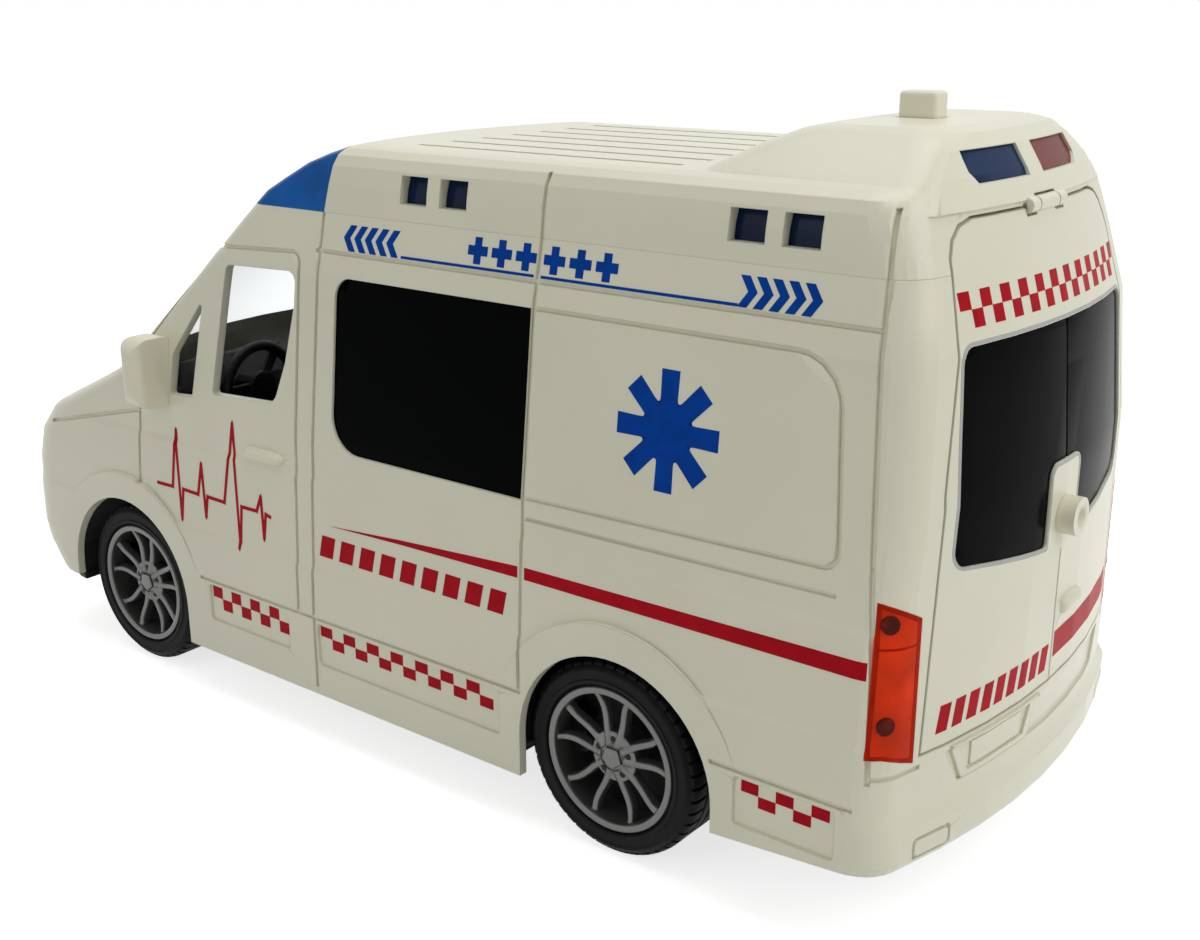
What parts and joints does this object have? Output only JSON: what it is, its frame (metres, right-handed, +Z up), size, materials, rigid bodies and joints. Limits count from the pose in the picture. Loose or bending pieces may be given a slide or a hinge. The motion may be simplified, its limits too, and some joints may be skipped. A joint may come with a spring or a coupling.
{
  "type": "toy ambulance van",
  "caption": "Friction-drive toy ambulance van with a hinged tailgate, a sprung roof button, coloured lamp lenses and turning spoked wheels.",
  "frame": {"origin": "centre of the bounding box's base, on the floor under the tyres", "axes": "+X towards the front, +Y towards the left side, +Z up"},
  "size_m": [0.2512, 0.1092, 0.1351],
  "materials": {
    "shell": "satin moulded plastic",
    "black_gloss": "glossy",
    "cream": "satin",
    "steel": "bright",
    "screw_steel": "bright",
    "clear": "clear plastic",
    "blue_lens": "translucent, glossy",
    "blue_strip": "translucent, glossy",
    "dark_blue_lens": "glossy",
    "dull_red_lens": "glossy",
    "orange_lamp": "translucent, glossy",
    "headlamp_clear": "clear, glossy",
    "black_plastic": "fine grain",
    "board_green": "lacquered board",
    "dome_rubber": "soft",
    "diode": "clear",
    "speaker_grey": "pressed frame",
    "rim_grey": "silver painted",
    "tyre_black": "matte",
    "gear_white": "natural plastic",
    "print_red": "thin pad print",
    "print_blue": "thin pad print"
  },
  "bodies": {
    "vehicle": {"body_shell": "shell", "roof_shell": "shell", "hinge_pin": "steel", "side_window_left": "black_gloss", "side_window_right": "black_gloss", "windscreen": "clear", "front_lens": "blue_lens", "roof_strip_left": "blue_strip", "roof_strip_right": "blue_strip", "rear_lens_blue": "dark_blue_lens", "rear_lens_red": "dull_red_lens", "tail_lamp_left": "orange_lamp", "tail_lamp_right": "orange_lamp", "mirror_left": "cream", "mirror_right": "cream", "headlamp_left": "headlamp_clear", "headlamp_right": "headlamp_clear", "grille": "black_plastic", "chassis_plate": "black_plastic", "interior_tray": "black_plastic", "steering_wheel": "black_plastic", "sound_board": "board_green", "switch_dome": "dome_rubber", "diodes": "diode", "speaker": "speaker_grey", "button_cells": "steel", "battery_cover": "black_plastic", "battery_screw": "screw_steel", "body_screws": "screw_steel", "motor_screws": "screw_steel", "motor_case_left": "black_plastic", "motor_case_right": "black_plastic"},
    "tailgate": {"tailgate": "shell", "tailgate_window": "black_gloss", "tailgate_knob": "cream"},
    "button": {"roof_button": "cream"},
    "front_wheels": {"front_axle": "steel", "front_rim_left": "rim_grey", "front_rim_right": "rim_grey", "front_tyre_left": "tyre_black", "front_tyre_right": "tyre_black"},
    "rear_wheels": {"rear_axle": "steel", "rear_rim_left": "rim_grey", "rear_rim_right": "rim_grey", "rear_tyre_left": "tyre_black", "rear_tyre_right": "tyre_black", "axle_gear": "gear_white"},
    "idler": {"idler_gear": "gear_white"},
    "flywheel": {"flywheel": "steel"}
  },
  "joints": [
    {"name": "tailgate_hinge", "type": "hinge", "parent": "vehicle", "child": "tailgate", "pos_m": [-0.1144, 0, 0.1183], "axis": [0, 1, 0], "range_deg": [0, 75]},
    {"name": "button_press", "type": "slide", "parent": "vehicle", "child": "button", "axis": [0, 0, -1], "range_m": [0, 0.002], "stiffness_N_per_m": 400, "springref_m": -0.0005, "deforming": ["switch_dome"]},
    {"name": "front_axle_spin", "type": "hinge", "parent": "vehicle", "child": "front_wheels", "pos_m": [0.0781, 0, 0.019], "axis": [0, 1, 0], "continuous": true},
    {"name": "rear_axle_spin", "type": "hinge", "parent": "vehicle", "child": "rear_wheels", "pos_m": [-0.0608, 0, 0.019], "axis": [0, 1, 0], "continuous": true},
    {"name": "idler_spin", "type": "hinge", "parent": "vehicle", "child": "idler", "pos_m": [-0.05526, 0, 0.0256], "axis": [0, 1, 0], "continuous": true},
    {"name": "flywheel_spin", "type": "hinge", "parent": "vehicle", "child": "flywheel", "pos_m": [-0.04693, 0, 0.02783], "axis": [0, 1, 0], "continuous": true}
  ],
  "couplings": [
    {"joint": "idler_spin", "follows": "rear_axle_spin", "ratio": -2.4},
    {"joint": "flywheel_spin", "follows": "rear_axle_spin", "ratio": 5.76}
  ]
}
